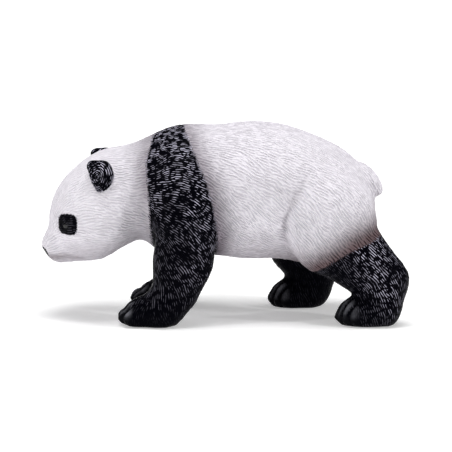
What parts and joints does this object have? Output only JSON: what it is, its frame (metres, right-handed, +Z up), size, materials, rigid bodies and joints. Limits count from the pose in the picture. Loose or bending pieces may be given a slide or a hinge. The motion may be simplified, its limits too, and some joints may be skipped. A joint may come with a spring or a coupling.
{
  "type": "panda figurine",
  "caption": "Walking giant panda figurine with carved fur, moulded in one piece, standing on its own flat soles.",
  "frame": {"origin": "on the ground under the middle of the figure's outline box", "axes": "+Z up, the panda faces -Y, its left side is +X"},
  "size_m": [0.0432, 0.0986, 0.0528],
  "materials": {
    "painted_plastic": "satin hand-painted vinyl plastic, white body with black ears, eye patches, shoulder band and legs"
  },
  "bodies": {
    "root": {"panda_figurine": "painted_plastic"}
  },
  "joints": []
}
